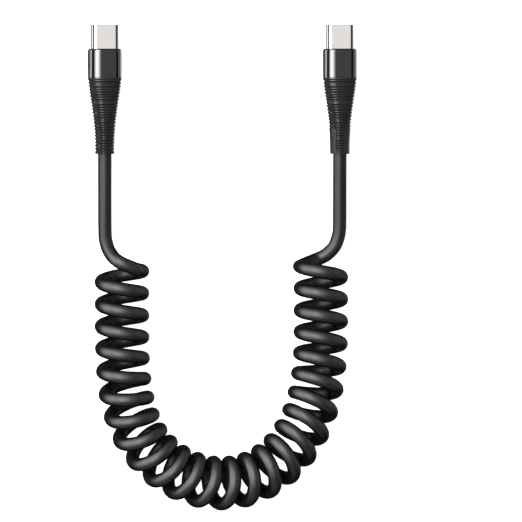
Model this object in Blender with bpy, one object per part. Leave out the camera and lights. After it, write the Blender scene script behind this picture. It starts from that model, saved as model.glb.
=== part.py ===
# A coiled USB-C cable laid in a U: two plugs, their strain reliefs, and one curly cord between them.
# The frame: +X to the right, +Y towards the plugs' mouths, +Z up, with the floor at Z = 0.
# The origin is on the floor, midway between the two plugs.

import math

import bmesh
import bpy
from mathutils import Vector

# Driving dimensions, in metres
PLUG_SPACING = 0.0705

SHELL_WIDTH = 0.00825
SHELL_HEIGHT = 0.0024
SHELL_WALL = 0.00025
SHELL_REACH = 0.0072
SHELL_EMBED = 0.0045
SHELL_LIP = 0.0001

CARRIER_SETBACK = 0.0003
SLOT_WIDTH = 0.0068
SLOT_HEIGHT = 0.00085
SLOT_DEPTH = 0.0056
SLOT_CORNER = 0.0002

HOUSING_WIDTH = 0.0102
HOUSING_HEIGHT = 0.0062
HOUSING_LENGTH = 0.0087
HOUSING_CORNER = 0.0022
HOUSING_FRONT_ROUND = 0.0006

COLLAR_LENGTH = 0.0006
RELIEF_LENGTH = 0.0220
RELIEF_TAPER_LENGTH = 0.0216
RELIEF_TAPER_SKEW = 0.7
RELIEF_FRONT_WIDTH = 0.0101
RELIEF_END_WIDTH = 0.0059
RELIEF_HEIGHT = 0.0057
RELIEF_FRONT_CORNER = 0.0023
RELIEF_END_CORNER = 0.0025
SIDE_RIB_SETBACK = 0.00068
SIDE_RIB_PITCH = 0.000989
SIDE_RIB_DEPTH = 0.0004
FACE_RIB_SETBACK = 0.0008
FACE_RIB_PITCH = 0.000765
FACE_RIB_DEPTH = 0.0003
RIBBED_SIDE_LENGTH = 0.0136
SPIGOT_WIDTH = 0.0060
SPIGOT_HEIGHT = 0.0026
SPIGOT_LENGTH = 0.0022

CORD_DIAMETER = 0.0041
COIL_DIAMETER = 0.0165

# Clearances, in metres
FACE_GAP = 0.0003
FIT_GAP = 0.0001
CARRIER_GAP = 0.00005

# How finely round shapes are drawn
SHARP_ANGLE = math.radians(35)
MERGE_DISTANCE = 0.000001
ROUND_END_SHARE = 0.48
CORNER_STEPS = 5
STATION_SPACING = 0.00005
FRONT_ROUND_STEPS = 3
COIL_POINT_SPACING = 0.006
COIL_RESOLUTION = 10
LEAD_POINT_SPACING = 0.004
LEAD_RESOLUTION = 3
ROUTE_SAMPLES = 16

# Heights that follow from the sizes: the housings and the coil both lie on the floor
PLUG_AXIS_HEIGHT = HOUSING_HEIGHT / 2
COIL_AXIS_HEIGHT = COIL_DIAMETER / 2

# Places along the plug, measured from its middle
PLUG_LENGTH = SHELL_REACH + HOUSING_LENGTH + FACE_GAP + COLLAR_LENGTH + RELIEF_LENGTH
SHELL_TIP = PLUG_LENGTH / 2
HOUSING_FRONT = SHELL_TIP - SHELL_REACH
SHELL_BACK = HOUSING_FRONT - SHELL_EMBED
HOUSING_BACK = HOUSING_FRONT - HOUSING_LENGTH
COLLAR_FRONT = HOUSING_BACK - FACE_GAP
RELIEF_FRONT = COLLAR_FRONT - COLLAR_LENGTH
RELIEF_END = RELIEF_FRONT - RELIEF_LENGTH

# The coil's centre line, as (x, y) points chosen by hand on the floor plan, from the left leg
# round the bend to the right leg
COIL_ROUTE = [
    (-0.03005, -0.04670), (-0.03005, -0.05570), (-0.03005, -0.06430), (-0.03002, -0.07300),
    (-0.02981, -0.08166), (-0.02899, -0.09028), (-0.02688, -0.09867), (-0.02290, -0.10639),
    (-0.01674, -0.11251), (-0.00907, -0.11655), (-0.00054, -0.11808), (0.00801, -0.11668),
    (0.01558, -0.11247), (0.02147, -0.10610), (0.02560, -0.09852), (0.02801, -0.09024),
    (0.02915, -0.08165), (0.02951, -0.07300), (0.02955, -0.06430), (0.02955, -0.05570),
    (0.02955, -0.04630),
]

# The two leads, from the strain relief's end to the coil's end, as (x, y, z) points: the left one
# climbs towards the top of the coil, and the right one sinks towards the floor
LEAD_LEFT_ROUTE = [
    (-0.03524, -0.0197, 0.00310), (-0.03523, -0.0240, 0.00330), (-0.03522, -0.0285, 0.00380),
    (-0.03521, -0.0330, 0.00460), (-0.03520, -0.0370, 0.00560), (-0.03518, -0.0407, 0.00670),
    (-0.03512, -0.0435, 0.00770), (-0.03493, -0.0453, 0.00850),
]
LEAD_RIGHT_ROUTE = [
    (0.03524, -0.0197, 0.00310), (0.03523, -0.0240, 0.00300), (0.03522, -0.0285, 0.00275),
    (0.03521, -0.0330, 0.00250), (0.03520, -0.0370, 0.00230), (0.03514, -0.0417, 0.00220),
    (0.03493, -0.0435, 0.00220), (0.03444, -0.0453, 0.00220),
]


def clear_scene():
    for old in list(bpy.data.objects):
        bpy.data.objects.remove(old, do_unlink=True)


def make_material(name, colour, roughness, metallic):
    material = bpy.data.materials.new(name)
    material.use_nodes = True
    shader = material.node_tree.nodes["Principled BSDF"]
    shader.inputs["Base Color"].default_value = (*colour, 1.0)
    shader.inputs["Roughness"].default_value = roughness
    shader.inputs["Metallic"].default_value = metallic
    return material


def section_points(place, width, height, corner):
    # One rounded rectangle across the plug, at a place along it
    points = []
    for quarter, (side_x, side_z) in enumerate([(1, 1), (-1, 1), (-1, -1), (1, -1)]):
        centre_x = side_x * (width / 2 - corner)
        centre_z = side_z * (height / 2 - corner)
        for step in range(CORNER_STEPS + 1):
            angle = math.radians(90) * (quarter + step / CORNER_STEPS)
            x = centre_x + corner * math.cos(angle)
            z = centre_z + corner * math.sin(angle)
            points.append((x, place, z))
    return points


def round_end(height):
    # The corner of a section whose short sides are almost half circles
    return ROUND_END_SHARE * height


def sectioned_body(name, sections, material, parent, tube=False):
    # A solid extruded through its sections, each (place, width, height, corner); a tube's last
    # section is its first one again, and the two are joined
    mesh = bmesh.new()
    outline = [mesh.verts.new(point) for point in section_points(*sections[0])]
    face = mesh.faces.new(outline)
    for section in sections[1:]:
        face = bmesh.ops.extrude_discrete_faces(mesh, faces=[face])["faces"][0]
        for vertex, point in zip(face.verts, section_points(*section)):
            vertex.co = point
    if tube:
        bmesh.ops.delete(mesh, geom=[face], context="FACES_ONLY")
        bmesh.ops.remove_doubles(mesh, verts=mesh.verts, dist=MERGE_DISTANCE)
    else:
        bmesh.ops.holes_fill(mesh, edges=mesh.edges)
    bmesh.ops.recalc_face_normals(mesh, faces=mesh.faces)
    data = bpy.data.meshes.new(name)
    mesh.to_mesh(data)
    mesh.free()
    data.shade_smooth()
    data.set_sharp_from_angle(angle=SHARP_ANGLE)
    data.materials.append(material)
    body = bpy.data.objects.new(name, data)
    body.parent = parent
    bpy.context.collection.objects.link(body)


def shell_sections():
    # Outside from back to front, over the lip, back inside, and out to the start again
    inner_width = SHELL_WIDTH - 2 * SHELL_WALL
    inner_height = SHELL_HEIGHT - 2 * SHELL_WALL
    lip_width = SHELL_WIDTH - 2 * SHELL_LIP
    lip_height = SHELL_HEIGHT - 2 * SHELL_LIP
    outside = (SHELL_WIDTH, SHELL_HEIGHT, round_end(SHELL_HEIGHT))
    lip = (lip_width, lip_height, round_end(lip_height))
    inside = (inner_width, inner_height, round_end(inner_height))
    return [
        (SHELL_BACK, *outside),
        (SHELL_TIP - SHELL_LIP, *outside),
        (SHELL_TIP, *lip),
        (SHELL_TIP, *inside),
        (SHELL_BACK, *inside),
        (SHELL_BACK, *outside),
    ]


def carrier_sections():
    # From its back to its face, then down into the blind slot
    width = SHELL_WIDTH - 2 * SHELL_WALL - 2 * CARRIER_GAP
    height = SHELL_HEIGHT - 2 * SHELL_WALL - 2 * CARRIER_GAP
    face = SHELL_TIP - CARRIER_SETBACK
    return [
        (SHELL_BACK, width, height, round_end(height)),
        (face, width, height, round_end(height)),
        (face, SLOT_WIDTH, SLOT_HEIGHT, SLOT_CORNER),
        (face - SLOT_DEPTH, SLOT_WIDTH, SLOT_HEIGHT, SLOT_CORNER),
    ]


def housing_sections():
    # From the floor of the spigot's pocket, over the outside, to the floor of the shell's pocket
    spigot_pocket_width = SPIGOT_WIDTH + 2 * FIT_GAP
    spigot_pocket_height = SPIGOT_HEIGHT + 2 * FIT_GAP
    spigot_pocket_floor = COLLAR_FRONT + SPIGOT_LENGTH + FACE_GAP
    shell_pocket_width = SHELL_WIDTH + 2 * FIT_GAP
    shell_pocket_height = SHELL_HEIGHT + 2 * FIT_GAP
    shell_pocket_floor = SHELL_BACK - FACE_GAP
    spigot_pocket = (spigot_pocket_width, spigot_pocket_height, round_end(spigot_pocket_height))
    shell_pocket = (shell_pocket_width, shell_pocket_height, round_end(shell_pocket_height))
    sections = [
        (spigot_pocket_floor, *spigot_pocket),
        (HOUSING_BACK, *spigot_pocket),
        (HOUSING_BACK, HOUSING_WIDTH, HOUSING_HEIGHT, HOUSING_CORNER),
    ]
    for step in range(FRONT_ROUND_STEPS + 1):
        angle = math.radians(90) * step / FRONT_ROUND_STEPS
        inset = HOUSING_FRONT_ROUND * (1 - math.cos(angle))
        place = HOUSING_FRONT - HOUSING_FRONT_ROUND * (1 - math.sin(angle))
        width = HOUSING_WIDTH - 2 * inset
        height = HOUSING_HEIGHT - 2 * inset
        sections.append((place, width, height, HOUSING_CORNER - inset))
    sections += [(HOUSING_FRONT, *shell_pocket), (shell_pocket_floor, *shell_pocket)]
    return sections


def relief_flare(distance):
    # 1 at the boot's front, easing down to 0 where its taper ends
    share = min(distance / RELIEF_TAPER_LENGTH, 1.0) ** RELIEF_TAPER_SKEW
    return 0.5 + 0.5 * math.cos(math.pi * share)


def rib_depth(distance, setback, pitch, depth):
    # How deep the grooves lie behind the boot's front: 0 on a rib's crest, full between two
    phase = (distance - setback) / pitch
    return depth * 2 * abs(phase - round(phase))


def relief_distances():
    # How far behind the boot's front its sections lie: its end, each rib's crest, each groove
    # between two ribs, and the front itself
    wanted = []
    for setback, pitch in ((SIDE_RIB_SETBACK, SIDE_RIB_PITCH), (FACE_RIB_SETBACK, FACE_RIB_PITCH)):
        halves = int((RELIEF_LENGTH - setback) / pitch * 2)
        wanted += [setback + pitch * half / 2 for half in range(-1, halves + 1)]
    distances = [RELIEF_LENGTH]
    for distance in sorted(wanted, reverse=True):
        if distance > STATION_SPACING and distances[-1] - distance > STATION_SPACING:
            distances.append(distance)
    return distances + [0.0]


def relief_sections(side):
    # The ribbed boot from its end to the collar, then the spigot that the housing holds; the right
    # boot's sides are smooth towards its end
    sections = []
    for distance in relief_distances():
        flare = relief_flare(distance)
        width = RELIEF_END_WIDTH + flare * (RELIEF_FRONT_WIDTH - RELIEF_END_WIDTH)
        corner = RELIEF_END_CORNER + flare * (RELIEF_FRONT_CORNER - RELIEF_END_CORNER)
        height = RELIEF_HEIGHT - 2 * rib_depth(distance, FACE_RIB_SETBACK, FACE_RIB_PITCH, FACE_RIB_DEPTH)
        if side == "left" or distance < RIBBED_SIDE_LENGTH:
            width -= 2 * rib_depth(distance, SIDE_RIB_SETBACK, SIDE_RIB_PITCH, SIDE_RIB_DEPTH)
        sections.append((RELIEF_FRONT - distance, width, height, corner))
    sections += [
        (RELIEF_FRONT, HOUSING_WIDTH, HOUSING_HEIGHT, HOUSING_CORNER),
        (COLLAR_FRONT, HOUSING_WIDTH, HOUSING_HEIGHT, HOUSING_CORNER),
        (COLLAR_FRONT, SPIGOT_WIDTH, SPIGOT_HEIGHT, round_end(SPIGOT_HEIGHT)),
        (COLLAR_FRONT + SPIGOT_LENGTH, SPIGOT_WIDTH, SPIGOT_HEIGHT, round_end(SPIGOT_HEIGHT)),
    ]
    return sections


def build_plug(side, place_x, materials):
    plug = bpy.data.objects.new("plug_" + side, None)
    plug.location = (place_x, 0, PLUG_AXIS_HEIGHT)
    bpy.context.collection.objects.link(plug)
    sectioned_body("plug_shell_" + side, shell_sections(), materials["metal"], plug, tube=True)
    sectioned_body("contact_carrier_" + side, carrier_sections(), materials["carrier"], plug)
    sectioned_body("plug_housing_" + side, housing_sections(), materials["gloss"], plug)
    sectioned_body("strain_relief_" + side, relief_sections(side), materials["matt"], plug)


def smooth_point(before, start, end, after, share):
    # A point between start and end on a smooth curve that also heeds their neighbours
    square = share * share
    cube = square * share
    return 0.5 * (
        2 * start
        + (end - before) * share
        + (2 * before - 5 * start + 4 * end - after) * square
        + (3 * start - before - 3 * end + after) * cube
    )


def smooth_route(points, spacing):
    # The route's points joined by a smooth curve, then read again at an even spacing
    route = [Vector(point) for point in points]
    route = [2 * route[0] - route[1]] + route + [2 * route[-1] - route[-2]]
    fine = []
    for index in range(1, len(route) - 2):
        for sample in range(ROUTE_SAMPLES):
            fine.append(smooth_point(*route[index - 1:index + 3], sample / ROUTE_SAMPLES))
    fine.append(route[-2])
    reached = [0.0]
    for start, end in zip(fine, fine[1:]):
        reached.append(reached[-1] + (end - start).length)
    count = max(2, round(reached[-1] / spacing))
    even = []
    index = 0
    for number in range(count + 1):
        wanted = reached[-1] * number / count
        while index < len(fine) - 2 and reached[index + 1] < wanted:
            index += 1
        share = (wanted - reached[index]) / (reached[index + 1] - reached[index])
        even.append(fine[index].lerp(fine[index + 1], min(share, 1.0)))
    return even


def build_tube(name, route, diameter, spacing, resolution, material):
    # A round tube with closed ends along a smooth route
    curve = bpy.data.curves.new(name, "CURVE")
    curve.dimensions = "3D"
    curve.twist_mode = "Z_UP"
    curve.bevel_depth = diameter / 2
    curve.bevel_resolution = resolution
    curve.use_fill_caps = True
    points = smooth_route(route, spacing)
    spline = curve.splines.new("POLY")
    spline.points.add(len(points) - 1)
    for target, point in zip(spline.points, points):
        target.co = (*point, 1.0)
    spline.use_smooth = True
    curve.materials.append(material)
    tube = bpy.data.objects.new(name, curve)
    bpy.context.collection.objects.link(tube)


def build_cord(material):
    coil_route = [(x, y, COIL_AXIS_HEIGHT) for x, y in COIL_ROUTE]
    build_tube("cord_coil", coil_route, COIL_DIAMETER, COIL_POINT_SPACING, COIL_RESOLUTION, material)
    for side, route in (("left", LEAD_LEFT_ROUTE), ("right", LEAD_RIGHT_ROUTE)):
        build_tube("cord_lead_" + side, route, CORD_DIAMETER, LEAD_POINT_SPACING, LEAD_RESOLUTION, material)


def build_cable():
    clear_scene()
    materials = {
        "metal": make_material("plug_metal", (0.78, 0.76, 0.74), 0.25, 1.0),
        "carrier": make_material("carrier_plastic", (0.02, 0.02, 0.02), 0.5, 0.0),
        "gloss": make_material("gloss_black_plastic", (0.02, 0.02, 0.022), 0.08, 0.0),
        "matt": make_material("matt_black_relief", (0.03, 0.03, 0.03), 0.55, 0.0),
        "jacket": make_material("black_cord_jacket", (0.025, 0.025, 0.025), 0.5, 0.0),
    }
    build_plug("left", -PLUG_SPACING / 2, materials)
    build_plug("right", PLUG_SPACING / 2, materials)
    build_cord(materials["jacket"])


build_cable()
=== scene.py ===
import math

import bmesh
import bpy
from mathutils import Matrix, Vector


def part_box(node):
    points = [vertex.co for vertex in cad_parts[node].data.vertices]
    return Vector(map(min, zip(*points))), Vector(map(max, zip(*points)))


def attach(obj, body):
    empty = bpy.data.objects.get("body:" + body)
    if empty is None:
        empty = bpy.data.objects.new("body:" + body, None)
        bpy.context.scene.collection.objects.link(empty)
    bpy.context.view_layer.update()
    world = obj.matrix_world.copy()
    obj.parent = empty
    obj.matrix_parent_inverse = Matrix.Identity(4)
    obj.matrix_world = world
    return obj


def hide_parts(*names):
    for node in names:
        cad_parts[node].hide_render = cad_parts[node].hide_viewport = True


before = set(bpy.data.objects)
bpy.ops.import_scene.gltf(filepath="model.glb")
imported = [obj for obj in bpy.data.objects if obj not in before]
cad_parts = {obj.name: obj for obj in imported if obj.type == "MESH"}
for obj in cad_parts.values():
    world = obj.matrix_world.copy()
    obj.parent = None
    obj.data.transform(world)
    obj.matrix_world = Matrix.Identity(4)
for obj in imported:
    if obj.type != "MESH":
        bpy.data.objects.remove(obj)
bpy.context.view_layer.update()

SIDES = ("left", "right")

# The camera looks straight down from far away through a long lens
PHOTO_SPAN = 0.1566
PHOTO_CENTRE_X = 0.01162
PHOTO_CENTRE_Y = -0.05148
CAMERA_HEIGHT = 6.0
CAMERA_NEAR = 0.1
CAMERA_FAR = 20.0
SENSOR_WIDTH = 36.0

# The coil's centre line on the floor plan, and the two leads, as in the part's source
COIL_ROUTE = [
    (-0.03005, -0.04670), (-0.03005, -0.05570), (-0.03005, -0.06430), (-0.03002, -0.07300),
    (-0.02981, -0.08166), (-0.02899, -0.09028), (-0.02688, -0.09867), (-0.02290, -0.10639),
    (-0.01674, -0.11251), (-0.00907, -0.11655), (-0.00054, -0.11808), (0.00801, -0.11668),
    (0.01558, -0.11247), (0.02147, -0.10610), (0.02560, -0.09852), (0.02801, -0.09024),
    (0.02915, -0.08165), (0.02951, -0.07300), (0.02955, -0.06430), (0.02955, -0.05570),
    (0.02955, -0.04630),
]
LEAD_LEFT_ROUTE = [
    (-0.03524, -0.0197, 0.00310), (-0.03523, -0.0240, 0.00330), (-0.03522, -0.0285, 0.00380),
    (-0.03521, -0.0330, 0.00460), (-0.03520, -0.0370, 0.00560), (-0.03518, -0.0407, 0.00670),
    (-0.03512, -0.0435, 0.00770), (-0.03493, -0.0453, 0.00850),
]
LEAD_RIGHT_ROUTE = [
    (0.03524, -0.0197, 0.00310), (0.03523, -0.0240, 0.00300), (0.03522, -0.0285, 0.00275),
    (0.03521, -0.0330, 0.00250), (0.03520, -0.0370, 0.00230), (0.03514, -0.0417, 0.00220),
    (0.03493, -0.0435, 0.00220), (0.03444, -0.0453, 0.00220),
]

# Where the left lead climbs over the coil's first turn, and where the last turn comes out below
FIRST_TURN_ROUTE = [
    (-0.03428, -0.04758, 0.0098), (-0.03332, -0.04938, 0.0113),
    (-0.03203, -0.05088, 0.0128), (-0.03005, -0.05217, 0.0140),
]
LAST_TURN_ROUTE = [
    (0.02776, -0.05118, 0.00260), (0.03091, -0.04980, 0.00235), (0.03349, -0.04730, 0.00225),
]

# The cord. A turn's place is its distance along the coil's centre line, from the left leg's start
CORD_DIAMETER = 0.0041
CORD_IN_BOOT = 0.0025
COIL_TURNS = 25
FIRST_TURN_START = -0.125
FIRST_TURN_DISTANCE = 0.0078
LAST_TURN_DISTANCE = 0.1674

# How the turns crowd together in the bend, and how those past LATE_TURN lie a little further on
TURN_SWAY = 0.00097
TURN_SKEW = 0.8
LATE_SHIFT = 0.0004
LATE_TURN = 14
LATE_TURNS = 5

# How far the turns lean along the coil: the first ones a little, and those in the bend the most
LEG_LEAN = 0.00045
BEND_LEAN = 0.0022
BEND_TURN = 12.5
BEND_TURNS = 8.5

# How finely the cord is drawn
POINTS_PER_TURN = 24
ROUTE_SAMPLES = 16
AXIS_SPACING = 0.0005
TANGENT_REACH = 2
CORD_POINT_SPACING = 0.0013
CORD_RESOLUTION = 8

# How finely the plugs are drawn
RING_STEPS = 96
FRONT_ROUND_STEPS = 8
SHELL_ARC_STEPS = 8
SHELL_LIP_STEPS = 4
COLLAR_STEPS = 6
BOOT_STATION = 0.00008
SHARP_ANGLE = math.radians(35)
MERGE_DISTANCE = 0.000001

# The housing's outline is an ellipse at a squareness of 2, and squarer above that
HOUSING_SQUARENESS = 3.0
CROWN_RISE = 0.000135
CROWN_REACH = 0.63
HOUSING_FRONT_ROUND = 0.00065
SHELL_POCKET_GAP = 0.00008
SHELL_POCKET_DEPTH = 0.0004

# The shell's corner: the angle that each arc turns to, in degrees, and the arc's radius
SHELL_CORNER_ARCS = [(15.5, 0.0039), (27, 0.0027), (90, 0.00092)]
SHELL_WALL = 0.00025
SHELL_LIP = 0.0002
SHELL_CHAMFER = 0.00003

# The boot, which is the strain relief. The first ribs are placed along Y, as they stand in the photo
SEAT_GAP = 0.00001
COLLAR_LENGTH = 0.0006
COLLAR_ROUND = 0.00016
BOOT_FRONT_SQUARENESS = 3.0
BOOT_END_SQUARENESS = 2.0
BOOT_TAPER_LENGTH = 0.0216
BOOT_TAPER_SKEW = 0.7
BOOT_FRONT_WIDTH = 0.0101
BOOT_END_WIDTH = 0.0059
BOOT_HEIGHT = 0.0057
BOOT_FRONT_RISE = 0.0004
BOOT_LIP = 0.00035
SIDE_RIB_FIRST = 0.00192
SIDE_RIB_PITCH = 0.000989
SIDE_RIB_DEPTH = 0.0004
FACE_RIB_FIRST = 0.00180
FACE_RIB_PITCH = 0.000765
FACE_RIB_DEPTH = 0.0004

# The band of face ribs stops short of the sides. On the right boot's smooth end it is narrower
FACE_BAND_EDGE = 0.00115
FACE_BAND_BLUR = 0.00034
SMOOTH_SIDE_START = -0.0110
NARROW_BAND_WIDTH = 0.0024
NARROW_BAND_BLUR = 0.0008

# The contact springs, and one spring's line: (place from the shell's mouth, height from the middle)
CONTACT_COUNT = 12
CONTACT_PITCH = 0.0005
CONTACT_WIDTH = 0.00026
CONTACT_THICKNESS = 0.00012
CONTACT_PATH = [
    (-0.0006, 0.00046), (-0.0010, 0.00040), (-0.0016, 0.00034), (-0.0022, 0.00033),
    (-0.0030, 0.00037), (-0.0042, 0.00044),
]

# The grain's noise, which mostly stays between NOISE_LOW and NOISE_HIGH, and how deep grain is
GRAIN_DETAIL = 3.0
SHADE_DETAIL = 4.0
SHADE_ROUGHNESS = 0.6
NOISE_LOW = 0.3
NOISE_HIGH = 0.7
MOULDED_DEPTH = 0.00001
POLISHED_DEPTH = 0.000001

# The cord's sheen, by how far it faces away and by its place along Y, and painted shade on the faces
# turned right, where the sheen is weakened
SHEEN_FADE_START = 0.22
SHEEN_FADE_END = 0.55
POLISH_START = -0.042
POLISH_FULL = -0.050
LEAD_POLISH = 0.37
COIL_POLISH = 0.75
RIGHT_PAINTED_SHADE_START = 0.05
RIGHT_PAINTED_SHADE_END = 0.5
RIGHT_PAINTED_SHADE = 0.55
POLISH_ROUGHNESS = 0.5
POLISH_IOR = 1.8

# The boot's sheen, by how far it faces away
BOOT_SHEEN = 0.9
BOOT_FADE_START = 0.03
BOOT_FADE_END = 0.1
BOOT_ROUGHNESS = 0.18

# Painted shade on the metal: its colour is mixed towards black by how far it faces away from the viewer
# and by how far it faces left or right
METAL_PAINTED_SHADE = 0.85
METAL_SHADE_FACING_START = 0.06
METAL_SHADE_FACING_END = 0.14
METAL_SHADE_SIDE_START = 0.3
METAL_SHADE_SIDE_END = 0.44

# The sockets of a colour mix node, whose names aren't unique
MIX_SHARE = 0
MIX_FIRST = 6
MIX_SECOND = 7
MIX_COLOUR = 2

# The strips of light overhead run along Y, each (nearer angle, further angle, radiance)
LIGHT_DISTANCE = 4.0
LIGHT_Y = 1.3
LIGHT_LENGTH = 6.0
KEY_BANDS = [
    (-9.5, -12, 2.0), (-12, -14.5, 6.0), (-14.5, -17, 12.0), (-17, -23.5, 19.0),
    (-23.5, -26, 14.0), (-26, -28.5, 8.0), (-28.5, -31, 3.3),
]
OVERHEAD = (-9.5, 38, 0.77)

# The lights at the two sides, each (name, -1 for left or 1 for right, middle's height, width, radiance)
SIDE_LIGHTS = [
    ("left_high", -1, 2.4, 1.3, 8.0),
    ("left_low", -1, 1.0, 1.5, 5.0),
    ("right_side", 1, 1.1, 1.6, 2.0),
    ("right_low", 1, -3.6, 2.6, 5.5),
]

FLOOR_REACH = 3.0
FLOOR_DROP = 0.0003
FLOOR_GLOW = 0.93

# The pale room low down, and the dark one above it that the lights stand in, by elevation
WORLD_LOW = 10
WORLD_HIGH = 24
WORLD_LOW_LIGHT = 0.3
WORLD_HIGH_LIGHT = 0.02


def place_camera():
    data = bpy.data.cameras.new("camera")
    data.sensor_width = SENSOR_WIDTH
    data.lens = SENSOR_WIDTH * CAMERA_HEIGHT / PHOTO_SPAN
    data.clip_start = CAMERA_NEAR
    data.clip_end = CAMERA_FAR
    camera = bpy.data.objects.new("camera", data)
    camera.location = (PHOTO_CENTRE_X, PHOTO_CENTRE_Y, CAMERA_HEIGHT)
    bpy.context.collection.objects.link(camera)
    bpy.context.scene.camera = camera


def clamped(value):
    return min(max(value, 0.0), 1.0)


def ease(share):
    # From 0 to 1 with a soft start and a soft end
    return 0.5 - 0.5 * math.cos(math.pi * share)


def smooth_point(before, start, end, after, share):
    # A point between start and end on a smooth curve that also heeds their neighbours
    square = share * share
    cube = square * share
    return 0.5 * (
        2 * start
        + (end - before) * share
        + (2 * before - 5 * start + 4 * end - after) * square
        + (3 * start - before - 3 * end + after) * cube
    )


def smooth_route(points, spacing):
    # The route's points joined by a smooth curve, then read again at an even spacing
    route = [Vector(point) for point in points]
    route = [2 * route[0] - route[1]] + route + [2 * route[-1] - route[-2]]
    fine = []
    for index in range(1, len(route) - 2):
        for sample in range(ROUTE_SAMPLES):
            fine.append(smooth_point(*route[index - 1:index + 3], sample / ROUTE_SAMPLES))
    fine.append(route[-2])
    reached = [0.0]
    for start, end in zip(fine, fine[1:]):
        reached.append(reached[-1] + (end - start).length)
    count = max(2, round(reached[-1] / spacing))
    even = []
    index = 0
    for number in range(count + 1):
        wanted = reached[-1] * number / count
        while index < len(fine) - 2 and reached[index + 1] < wanted:
            index += 1
        share = (wanted - reached[index]) / (reached[index + 1] - reached[index])
        even.append(fine[index].lerp(fine[index + 1], min(share, 1.0)))
    return even


def turn_distance(turn):
    # How far along the coil's centre line a turn lies: the turns are closer in the bend
    pitch = (LAST_TURN_DISTANCE - FIRST_TURN_DISTANCE) / COIL_TURNS
    skewed = turn + TURN_SKEW * math.sin(math.pi * turn / COIL_TURNS) ** 2
    sway = TURN_SWAY * math.sin(math.tau * skewed / COIL_TURNS)
    shift = LATE_SHIFT * ease(clamped((turn - LATE_TURN) / LATE_TURNS))
    return FIRST_TURN_DISTANCE + pitch * turn + sway + shift


def turn_lean(turn):
    # How far the top of a turn leans forward along the coil, and its underside back
    leg = LEG_LEAN * (1 - turn / COIL_TURNS)
    share = clamped(abs(turn - BEND_TURN) / BEND_TURNS)
    return leg + BEND_LEAN * math.cos(math.pi / 2 * share)


def coil_points():
    # The winding: each turn goes from its inner side under the coil, up outside and over the top
    coil_low, coil_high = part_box("cord_coil")
    axis_height = (coil_low[2] + coil_high[2]) / 2
    radius = (coil_high[2] - coil_low[2] - CORD_DIAMETER) / 2
    axis = smooth_route([(x, y, axis_height) for x, y in COIL_ROUTE], AXIS_SPACING)
    points = []
    first = round(FIRST_TURN_START * POINTS_PER_TURN)
    for step in range(first, COIL_TURNS * POINTS_PER_TURN + 1):
        turn = step / POINTS_PER_TURN
        place = turn_distance(turn) / AXIS_SPACING
        index = min(int(place), len(axis) - 2)
        centre = axis[index].lerp(axis[index + 1], place - index)
        ahead = min(index + 1 + TANGENT_REACH, len(axis) - 1)
        along = (axis[ahead] - axis[index - TANGENT_REACH]).normalized()
        inward = Vector((-along.y, along.x, 0))
        angle = math.tau * turn
        upward = Vector((0, 0, radius)) + turn_lean(turn) * along
        points.append(centre + radius * math.cos(angle) * inward - math.sin(angle) * upward)
    return points


def build_cord(material):
    start = Vector(LEAD_LEFT_ROUTE[0]) + Vector((0, CORD_IN_BOOT, 0))
    end = Vector(LEAD_RIGHT_ROUTE[0]) + Vector((0, CORD_IN_BOOT, 0))
    route = [start, *LEAD_LEFT_ROUTE, *FIRST_TURN_ROUTE, *coil_points(), *LAST_TURN_ROUTE]
    route += [*reversed(LEAD_RIGHT_ROUTE), end]
    curve = bpy.data.curves.new("cord", "CURVE")
    curve.dimensions = "3D"
    curve.twist_mode = "MINIMUM"
    curve.bevel_depth = CORD_DIAMETER / 2
    curve.bevel_resolution = CORD_RESOLUTION
    curve.use_fill_caps = True
    points = smooth_route(route, CORD_POINT_SPACING)
    spline = curve.splines.new("POLY")
    spline.points.add(len(points) - 1)
    for target, point in zip(spline.points, points):
        target.co = (*point, 1.0)
    spline.use_smooth = True
    curve.materials.append(material)
    cord = bpy.data.objects.new("cord", curve)
    bpy.context.collection.objects.link(cord)
    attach(cord, "root")
    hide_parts("cord_coil", "cord_lead_left", "cord_lead_right")


def finish_piece(name, mesh, material, replaced=()):
    # The mesh becomes a piece of the cable that rides on its body
    bmesh.ops.recalc_face_normals(mesh, faces=mesh.faces)
    data = bpy.data.meshes.new(name)
    mesh.to_mesh(data)
    mesh.free()
    data.shade_smooth()
    data.set_sharp_from_angle(angle=SHARP_ANGLE)
    data.materials.append(material)
    piece = bpy.data.objects.new(name, data)
    bpy.context.collection.objects.link(piece)
    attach(piece, "root")
    if replaced:
        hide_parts(*replaced)


def signed_power(value, power):
    return math.copysign(abs(value) ** power, value)


def oval(half_width, half_height, squareness):
    # A ring of points whose sides flatten as squareness grows from an ellipse's 2
    points = []
    for step in range(RING_STEPS):
        angle = math.tau * (step + 0.5) / RING_STEPS
        x = half_width * signed_power(math.cos(angle), 2 / squareness)
        z = half_height * signed_power(math.sin(angle), 2 / squareness)
        points.append((x, z))
    return points


def crowned_oval(half_width, half_height, squareness=HOUSING_SQUARENESS):
    # A squared oval whose top and bottom bulge a little more
    points = []
    for x, z in oval(half_width, half_height - CROWN_RISE, squareness):
        rise = CROWN_RISE * ease(1 - clamped(abs(x) / (CROWN_REACH * half_width)))
        points.append((x, z + math.copysign(rise, z)))
    return points


def shell_oval(half_width, half_height, inset):
    # The shell's ring of points, flat above and below: its corners turn slowly, then tightly
    corner = [(0.0, 0.0)]
    turned = 0.0
    for degrees, radius in SHELL_CORNER_ARCS:
        reach = math.radians(degrees)
        for step in range(1, SHELL_ARC_STEPS + 1):
            before = turned + (reach - turned) * (step - 1) / SHELL_ARC_STEPS
            after = turned + (reach - turned) * step / SHELL_ARC_STEPS
            across = (radius - inset) * (math.sin(after) - math.sin(before))
            down = (radius - inset) * (math.cos(before) - math.cos(after))
            corner.append((corner[-1][0] + across, corner[-1][1] + down))
        turned = reach
    corner.pop()
    flat = half_width - inset - corner[-1][0]
    top = [(flat + across, half_height - inset - down) for across, down in corner]
    points = [(x, z) for x, z in reversed(top)]
    points += [(-x, z) for x, z in top]
    points += [(-x, -z) for x, z in reversed(top)]
    points += [(x, -z) for x, z in top]
    return points


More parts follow.
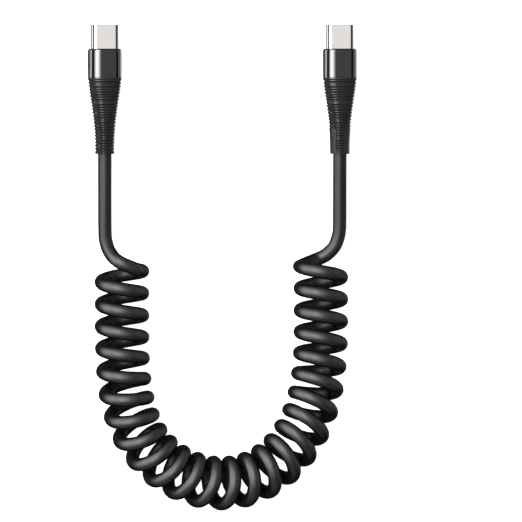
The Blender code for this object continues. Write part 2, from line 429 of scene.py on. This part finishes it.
def ringed_mesh(centre, rings, tube=False):
    # A body extruded through its rings, each (place along Y, points round it); a tube's last
    # ring is its first one again, and the two are joined
    mesh = bmesh.new()
    bmesh.ops.create_circle(mesh, cap_ends=True, segments=RING_STEPS, radius=1.0)
    mesh.faces.ensure_lookup_table()
    face = mesh.faces[0]
    for number, (place, points) in enumerate(rings):
        if number:
            face = bmesh.ops.extrude_discrete_faces(mesh, faces=[face])["faces"][0]
        for vertex, (x, z) in zip(face.verts, points):
            vertex.co = (centre[0] + x, place, centre[1] + z)
    if tube:
        bmesh.ops.delete(mesh, geom=[face], context="FACES_ONLY")
        bmesh.ops.remove_doubles(mesh, verts=mesh.verts, dist=MERGE_DISTANCE)
    else:
        bmesh.ops.holes_fill(mesh, edges=[edge for edge in mesh.edges if edge.is_boundary])
    return mesh


def plug_centre(side):
    low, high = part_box("plug_housing_" + side)
    return (low[0] + high[0]) / 2, (low[2] + high[2]) / 2


def build_shell(side, material):
    # The thin drawn tube, with a round lip at its mouth
    low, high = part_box("plug_shell_" + side)
    half_width = (high[0] - low[0]) / 2
    half_height = (high[2] - low[2]) / 2

    def ring(place, inset):
        return place, shell_oval(half_width, half_height, inset)

    rings = [ring(low[1], 0)]
    for step in range(SHELL_LIP_STEPS + 1):
        angle = math.tau / 4 * step / SHELL_LIP_STEPS
        place = high[1] - SHELL_LIP * (1 - math.sin(angle))
        rings.append(ring(place, SHELL_LIP * (1 - math.cos(angle))))
    rings += [ring(high[1], SHELL_WALL - SHELL_CHAMFER), ring(high[1] - SHELL_CHAMFER, SHELL_WALL)]
    rings += [ring(low[1], SHELL_WALL), ring(low[1], 0)]
    mesh = ringed_mesh(plug_centre(side), rings, tube=True)
    finish_piece("shell_" + side, mesh, material, ["plug_shell_" + side])


def build_housing(side, material):
    # The gloss block: a crowned oval with a round front edge and a snug pocket for the shell
    low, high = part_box("plug_housing_" + side)
    shell_low, shell_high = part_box("plug_shell_" + side)
    half_width = (high[0] - low[0]) / 2
    half_height = (high[2] - low[2]) / 2
    shell_half_width = (shell_high[0] - shell_low[0]) / 2
    shell_half_height = (shell_high[2] - shell_low[2]) / 2
    pocket = shell_oval(shell_half_width, shell_half_height, -SHELL_POCKET_GAP)
    rings = [(high[1] - SHELL_POCKET_DEPTH, pocket), (high[1], pocket)]
    for step in range(FRONT_ROUND_STEPS, -1, -1):
        angle = math.tau / 4 * step / FRONT_ROUND_STEPS
        inset = HOUSING_FRONT_ROUND * (1 - math.cos(angle))
        place = high[1] - HOUSING_FRONT_ROUND * (1 - math.sin(angle))
        rings.append((place, crowned_oval(half_width - inset, half_height - inset)))
    rings.append((low[1], crowned_oval(half_width, half_height)))
    mesh = ringed_mesh(plug_centre(side), rings)
    finish_piece("housing_" + side, mesh, material, ["plug_housing_" + side])


def boot_flare(distance):
    # 1 at the boot's front, easing down to 0 where its taper ends
    return ease(1 - clamped(distance / BOOT_TAPER_LENGTH) ** BOOT_TAPER_SKEW)


def groove_depth(place, first, pitch, depth):
    # 0 on a rib's crest, down to the full depth in the sharp groove between two ribs
    phase = (first - place) / pitch
    return depth * (1 - abs(math.cos(math.pi * phase)))


def collar_rings(side):
    # The rounded ring between the housing and the boot
    low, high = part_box("plug_housing_" + side)
    front = low[1] - SEAT_GAP
    rings = []
    for step in range(COLLAR_STEPS + 1):
        share = step / COLLAR_STEPS
        inset = COLLAR_ROUND * (1 - math.sin(math.pi * share))
        half_width = (high[0] - low[0]) / 2 - inset
        half_height = (high[2] - low[2]) / 2 - inset
        rings.append((front - COLLAR_LENGTH * share, crowned_oval(half_width, half_height)))
    return rings


def boot_ring(side, place, front, end):
    # The boot's outline at one place along Y, with the grooves of its side and face ribs
    flare = boot_flare(front - place)
    half_width = (BOOT_END_WIDTH + flare * (BOOT_FRONT_WIDTH - BOOT_END_WIDTH)) / 2
    half_height = (BOOT_HEIGHT + flare * BOOT_FRONT_RISE) / 2
    squareness = BOOT_END_SQUARENESS + flare * (BOOT_FRONT_SQUARENESS - BOOT_END_SQUARENESS)
    end_ease = clamped((place - end) / BOOT_LIP)
    side_groove = end_ease * groove_depth(place, SIDE_RIB_FIRST, SIDE_RIB_PITCH, SIDE_RIB_DEPTH)
    face_groove = end_ease * groove_depth(place, FACE_RIB_FIRST, FACE_RIB_PITCH, FACE_RIB_DEPTH)
    band = half_width - FACE_BAND_EDGE
    blur = FACE_BAND_BLUR
    if side == "right":
        smooth = clamped((SMOOTH_SIDE_START - place) / SIDE_RIB_PITCH)
        side_groove *= 1 - smooth
        band += smooth * (NARROW_BAND_WIDTH / 2 - band)
        blur += smooth * (NARROW_BAND_BLUR - blur)
    points = []
    for x, z in crowned_oval(half_width, half_height, squareness):
        share = clamped((abs(x) - band) / blur + 0.5)
        depth = share * side_groove + (1 - share) * face_groove
        points.append((x * (1 - depth / half_width), z * (1 - depth / half_height)))
    return place, points


def build_boot(side, material):
    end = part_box("strain_relief_" + side)[0][1]
    rings = collar_rings(side)
    front = rings[-1][0]
    stations = round((front - end) / BOOT_STATION)
    for station in range(stations + 1):
        place = front + (end - front) * station / stations
        rings.append(boot_ring(side, place, front, end))
    mesh = ringed_mesh(plug_centre(side), rings)
    finish_piece("boot_" + side, mesh, material, ["strain_relief_" + side])


def add_spring(mesh, x, mouth, centre_z, row):
    # One flat spring, extruded along its line: its first face is the spring's end by the mouth
    made = bmesh.ops.create_grid(mesh, x_segments=1, y_segments=1, size=CONTACT_WIDTH)
    face = made["verts"][0].link_faces[0]
    corners = [(-1, 0), (1, 0), (1, 1), (-1, 1)]
    for number, (reach, height) in enumerate(CONTACT_PATH):
        if number:
            face = bmesh.ops.extrude_discrete_faces(mesh, faces=[face])["faces"][0]
        for vertex, (across, up) in zip(face.verts, corners):
            z = centre_z + row * (height + up * CONTACT_THICKNESS)
            vertex.co = (x + across * CONTACT_WIDTH / 2, mouth + reach, z)


def build_contacts(side, material):
    # Two rows of gilt springs that bow into the slot from above and below
    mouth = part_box("plug_shell_" + side)[1][1]
    centre_x, centre_z = plug_centre(side)
    mesh = bmesh.new()
    for row in (1, -1):
        for number in range(CONTACT_COUNT):
            x = centre_x + (number - (CONTACT_COUNT - 1) / 2) * CONTACT_PITCH
            add_spring(mesh, x, mouth, centre_z, row)
    bmesh.ops.holes_fill(mesh, edges=[edge for edge in mesh.edges if edge.is_boundary])
    finish_piece("contacts_" + side, mesh, material)


def add_node(tree, kind, x, y, **settings):
    node = tree.nodes.new(kind)
    node.location = (x, y)
    for name, value in settings.items():
        setattr(node, name, value)
    return node


def component(tree, x, y, source, axis):
    # One axis of an object's own coordinates or normals, or of a direction in the world
    place = add_node(tree, "ShaderNodeTexCoord", x, y)
    split = add_node(tree, "ShaderNodeSeparateXYZ", x + 200, y)
    tree.links.new(place.outputs[source], split.inputs["Vector"])
    return split.outputs[axis]


def smooth_range(tree, x, y, value, start, end, low, high):
    # Eases from low to high as the value goes from start to end
    node = add_node(tree, "ShaderNodeMapRange", x, y, interpolation_type="SMOOTHSTEP")
    node.inputs["From Min"].default_value = start
    node.inputs["From Max"].default_value = end
    node.inputs["To Min"].default_value = low
    node.inputs["To Max"].default_value = high
    tree.links.new(value, node.inputs["Value"])
    return node.outputs["Result"]


def facing_range(tree, x, y, start, end, low, high):
    # Eases from low to high as the surface turns from the viewer
    weight = add_node(tree, "ShaderNodeLayerWeight", x - 200, y)
    return smooth_range(tree, x, y, weight.outputs["Facing"], start, end, low, high)


def combine(tree, x, y, operation, first, second):
    node = add_node(tree, "ShaderNodeMath", x, y, operation=operation)
    tree.links.new(first, node.inputs[0])
    tree.links.new(second, node.inputs[1])
    return node.outputs["Value"]


def grain_group():
    # Fine moulded grain and broad uneven shading, shared by every surface
    group = bpy.data.node_groups.new("moulded_grain", "ShaderNodeTree")
    sockets = group.interface
    sockets.new_socket("Grain Scale", in_out="INPUT", socket_type="NodeSocketFloat")
    sockets.new_socket("Shade Scale", in_out="INPUT", socket_type="NodeSocketFloat")
    sockets.new_socket("Grain", in_out="OUTPUT", socket_type="NodeSocketFloat")
    sockets.new_socket("Shade", in_out="OUTPUT", socket_type="NodeSocketFloat")
    inputs = add_node(group, "NodeGroupInput", -600, 0)
    outputs = add_node(group, "NodeGroupOutput", 400, 0)
    place = add_node(group, "ShaderNodeTexCoord", -600, -200)
    grain = add_node(group, "ShaderNodeTexNoise", -200, 150)
    grain.inputs["Detail"].default_value = GRAIN_DETAIL
    shade = add_node(group, "ShaderNodeTexNoise", -200, -150)
    shade.inputs["Detail"].default_value = SHADE_DETAIL
    shade.inputs["Roughness"].default_value = SHADE_ROUGHNESS
    group.links.new(place.outputs["Object"], grain.inputs["Vector"])
    group.links.new(place.outputs["Object"], shade.inputs["Vector"])
    group.links.new(inputs.outputs["Grain Scale"], grain.inputs["Scale"])
    group.links.new(inputs.outputs["Shade Scale"], shade.inputs["Scale"])
    group.links.new(grain.outputs["Fac"], outputs.inputs["Grain"])
    group.links.new(shade.outputs["Fac"], outputs.inputs["Shade"])
    return group


def moulded_material(name, group, dark, light, roughness, grain_scale, shade_scale, bump,
                     bump_depth=MOULDED_DEPTH, metallic=0.0, specular=0.5, coat=0.0):
    # Colour and roughness drift with the broad shading, and the fine grain lifts the surface
    material = bpy.data.materials.new(name)
    material.use_nodes = True
    tree = material.node_tree
    shader = tree.nodes["Principled BSDF"]
    shader.inputs["Metallic"].default_value = metallic
    shader.inputs["Specular IOR Level"].default_value = specular
    shader.inputs["Coat Weight"].default_value = coat
    surface = add_node(tree, "ShaderNodeGroup", -900, 0, node_tree=group)
    surface.inputs["Grain Scale"].default_value = grain_scale
    surface.inputs["Shade Scale"].default_value = shade_scale
    colour = add_node(tree, "ShaderNodeValToRGB", -600, 200)
    colour.color_ramp.elements[0].position = NOISE_LOW
    colour.color_ramp.elements[0].color = (*dark, 1.0)
    colour.color_ramp.elements[1].position = NOISE_HIGH
    colour.color_ramp.elements[1].color = (*light, 1.0)
    drift = add_node(tree, "ShaderNodeMapRange", -600, -100)
    drift.inputs["From Min"].default_value = NOISE_LOW
    drift.inputs["From Max"].default_value = NOISE_HIGH
    drift.inputs["To Min"].default_value = roughness[0]
    drift.inputs["To Max"].default_value = roughness[1]
    relief = add_node(tree, "ShaderNodeBump", -300, -300)
    relief.inputs["Strength"].default_value = bump
    relief.inputs["Distance"].default_value = bump_depth
    tree.links.new(surface.outputs["Shade"], colour.inputs["Fac"])
    tree.links.new(surface.outputs["Shade"], drift.inputs["Value"])
    tree.links.new(surface.outputs["Grain"], relief.inputs["Height"])
    tree.links.new(colour.outputs["Color"], shader.inputs["Base Color"])
    tree.links.new(drift.outputs["Result"], shader.inputs["Roughness"])
    tree.links.new(relief.outputs["Normal"], shader.inputs["Normal"])
    return material


def add_sheen(material, weight, roughness):
    shader = material.node_tree.nodes["Principled BSDF"]
    shader.inputs["Coat Roughness"].default_value = roughness
    material.node_tree.links.new(weight, shader.inputs["Coat Weight"])


def make_cord(grain):
    # The sheen fades towards the cord's edges and is stronger on the coil; on faces turned right it is
    # weakened as painted shade on the cord's right side
    material = moulded_material(
        "cord_jacket", grain, dark=(0.0025, 0.0025, 0.0027), light=(0.005, 0.005, 0.005),
        roughness=(0.52, 0.58), grain_scale=5000, shade_scale=250, bump=0.5, specular=0.03,
    )
    tree = material.node_tree
    facing = facing_range(tree, -500, 800, SHEEN_FADE_START, SHEEN_FADE_END, 1.0, 0.0)
    along = component(tree, -900, 500, "Object", "Y")
    polish = smooth_range(tree, -500, 500, along, POLISH_START, POLISH_FULL, LEAD_POLISH, COIL_POLISH)
    # Painted shade: the sheen is weakened on faces turned right, darkening the cord's right side
    turned = component(tree, -900, 1100, "Normal", "X")
    right_painted_shade = smooth_range(tree, -500, 1100, turned, RIGHT_PAINTED_SHADE_START, RIGHT_PAINTED_SHADE_END, 1.0, RIGHT_PAINTED_SHADE)
    sheen = combine(tree, -300, 650, "MULTIPLY", polish, facing)
    add_sheen(material, combine(tree, -100, 800, "MULTIPLY", sheen, right_painted_shade), POLISH_ROUGHNESS)
    tree.nodes["Principled BSDF"].inputs["Coat IOR"].default_value = POLISH_IOR
    return material


def make_boot_rubber(grain):
    # The sheen shows only on what faces the viewer: the crests of the ribs
    material = moulded_material(
        "boot_rubber", grain, dark=(0.0128, 0.0128, 0.0128), light=(0.0158, 0.0158, 0.0158),
        roughness=(0.3, 0.34), grain_scale=7000, shade_scale=300, bump=0.3, specular=0.1,
    )
    facing = facing_range(
        material.node_tree, -500, 800, BOOT_FADE_START, BOOT_FADE_END, BOOT_SHEEN, 0.0,
    )
    add_sheen(material, facing, BOOT_ROUGHNESS)
    return material


def make_gloss_plastic(grain):
    return moulded_material(
        "gloss_black_plastic", grain, dark=(0.003, 0.003, 0.003), light=(0.005, 0.005, 0.005),
        roughness=(0.04, 0.08), grain_scale=3000, shade_scale=200, bump=0.1,
        bump_depth=POLISHED_DEPTH, coat=0.3,
    )


def make_carrier_plastic(grain):
    return moulded_material(
        "carrier_plastic", grain, dark=(0.01, 0.01, 0.01), light=(0.02, 0.02, 0.02),
        roughness=(0.35, 0.5), grain_scale=9000, shade_scale=800, bump=0.5,
    )


def make_plug_metal(grain):
    # Painted shade: the metal's colour is mixed towards black on the shell's rounded sides, where they
    # turn from the viewer
    material = moulded_material(
        "plug_metal", grain, dark=(0.93, 0.89, 0.86), light=(0.97, 0.93, 0.90),
        roughness=(0.03, 0.06), grain_scale=9000, shade_scale=500, bump=0.1,
        bump_depth=POLISHED_DEPTH, metallic=1.0,
    )
    tree = material.node_tree
    base = tree.nodes["Principled BSDF"].inputs["Base Color"]
    plain_colour = base.links[0].from_socket
    facing = facing_range(tree, -700, 700, METAL_SHADE_FACING_START, METAL_SHADE_FACING_END, 0.0, METAL_PAINTED_SHADE)
    turned = component(tree, -1300, 450, "Normal", "X")
    sideways = add_node(tree, "ShaderNodeMath", -900, 450, operation="ABSOLUTE")
    tree.links.new(turned, sideways.inputs[0])
    amount = sideways.outputs["Value"]
    side = smooth_range(tree, -700, 450, amount, METAL_SHADE_SIDE_START, METAL_SHADE_SIDE_END, 0.0, 1.0)
    # Painted shade: black mixed into the metal's colour where it faces away and to the side
    mix = add_node(tree, "ShaderNodeMix", -200, 300, data_type="RGBA")
    mix.inputs[MIX_SECOND].default_value = (0.0, 0.0, 0.0, 1.0)
    painted_shade = combine(tree, -450, 550, "MULTIPLY", facing, side)
    tree.links.new(painted_shade, mix.inputs[MIX_SHARE])
    tree.links.new(plain_colour, mix.inputs[MIX_FIRST])
    tree.links.new(mix.outputs[MIX_COLOUR], base)
    return material


def make_gilt(grain):
    return moulded_material(
        "gilt_contacts", grain, dark=(0.80, 0.55, 0.20), light=(0.90, 0.66, 0.28),
        roughness=(0.18, 0.28), grain_scale=9000, shade_scale=900, bump=0.2,
        bump_depth=2 * POLISHED_DEPTH, metallic=1.0,
    )


def make_floor_paper(grain):
    material = moulded_material(
        "floor_paper", grain, dark=(0.78, 0.78, 0.78), light=(0.82, 0.82, 0.82),
        roughness=(0.75, 0.85), grain_scale=900, shade_scale=30, bump=0.0,
    )
    shader = material.node_tree.nodes["Principled BSDF"]
    shader.inputs["Emission Color"].default_value = (1, 1, 1, 1)
    shader.inputs["Emission Strength"].default_value = FLOOR_GLOW
    return material


def build_plugs(grain):
    metal = make_plug_metal(grain)
    gloss = make_gloss_plastic(grain)
    rubber = make_boot_rubber(grain)
    gilt = make_gilt(grain)
    carrier = make_carrier_plastic(grain)
    for side in SIDES:
        build_shell(side, metal)
        build_housing(side, gloss)
        build_boot(side, rubber)
        build_contacts(side, gilt)
        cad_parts["contact_carrier_" + side].material_slots[0].material = carrier


def softbox(name, centre, width, length, turn, radiance):
    # A flat rectangular light that shines down, or to one side when it is turned about Y. Its
    # energy is its radiance times pi times its area
    data = bpy.data.lights.new(name, "AREA")
    data.shape = "RECTANGLE"
    data.size = width
    data.size_y = length
    data.energy = radiance * math.pi * width * length
    lamp = bpy.data.objects.new(name, data)
    lamp.location = centre
    lamp.rotation_euler.y = turn
    lamp.visible_camera = False
    bpy.context.collection.objects.link(lamp)


def top_light(name, inner, outer, radiance):
    # A strip overhead, between two angles from straight up, in degrees towards the right
    low, high = sorted(LIGHT_DISTANCE * math.tan(math.radians(angle)) for angle in (inner, outer))
    middle = ((low + high) / 2, LIGHT_Y, LIGHT_DISTANCE)
    softbox(name, middle, high - low, LIGHT_LENGTH, 0.0, radiance)


def build_floor(material):
    mesh = bmesh.new()
    bmesh.ops.create_grid(mesh, x_segments=1, y_segments=1, size=FLOOR_REACH)
    data = bpy.data.meshes.new("floor")
    mesh.to_mesh(data)
    mesh.free()
    data.materials.append(material)
    floor = bpy.data.objects.new("floor", data)
    floor.location.z = -FLOOR_DROP
    floor.visible_glossy = False
    floor.visible_diffuse = False
    bpy.context.collection.objects.link(floor)


def place_lights():
    for number, band in enumerate(KEY_BANDS):
        top_light("key_%d" % number, *band)
    top_light("overhead", *OVERHEAD)
    for name, side, height, width, radiance in SIDE_LIGHTS:
        centre = (side * LIGHT_DISTANCE, LIGHT_Y, height)
        softbox(name, centre, width, LIGHT_LENGTH, side * math.pi / 2, radiance)


def build_world():
    # The camera sees it white, and the cable sees it pale low down and dark higher up
    world = bpy.data.worlds.new("studio")
    bpy.context.scene.world = world
    world.use_nodes = True
    tree = world.node_tree
    low = math.sin(math.radians(WORLD_LOW))
    high = math.sin(math.radians(WORLD_HIGH))
    upward = component(tree, -900, 0, "Generated", "Z")
    room = smooth_range(tree, -500, 0, upward, low, high, WORLD_LOW_LIGHT, WORLD_HIGH_LIGHT)
    rays = add_node(tree, "ShaderNodeLightPath", -500, 300)
    strength = combine(tree, -250, 0, "MAXIMUM", room, rays.outputs["Is Camera Ray"])
    background = tree.nodes["Background"]
    background.inputs["Color"].default_value = (1, 1, 1, 1)
    tree.links.new(strength, background.inputs["Strength"])


grain = grain_group()
place_camera()
build_cord(make_cord(grain))
build_plugs(grain)
build_floor(make_floor_paper(grain))
place_lights()
build_world()
bpy.context.scene.view_settings.view_transform = "Standard"
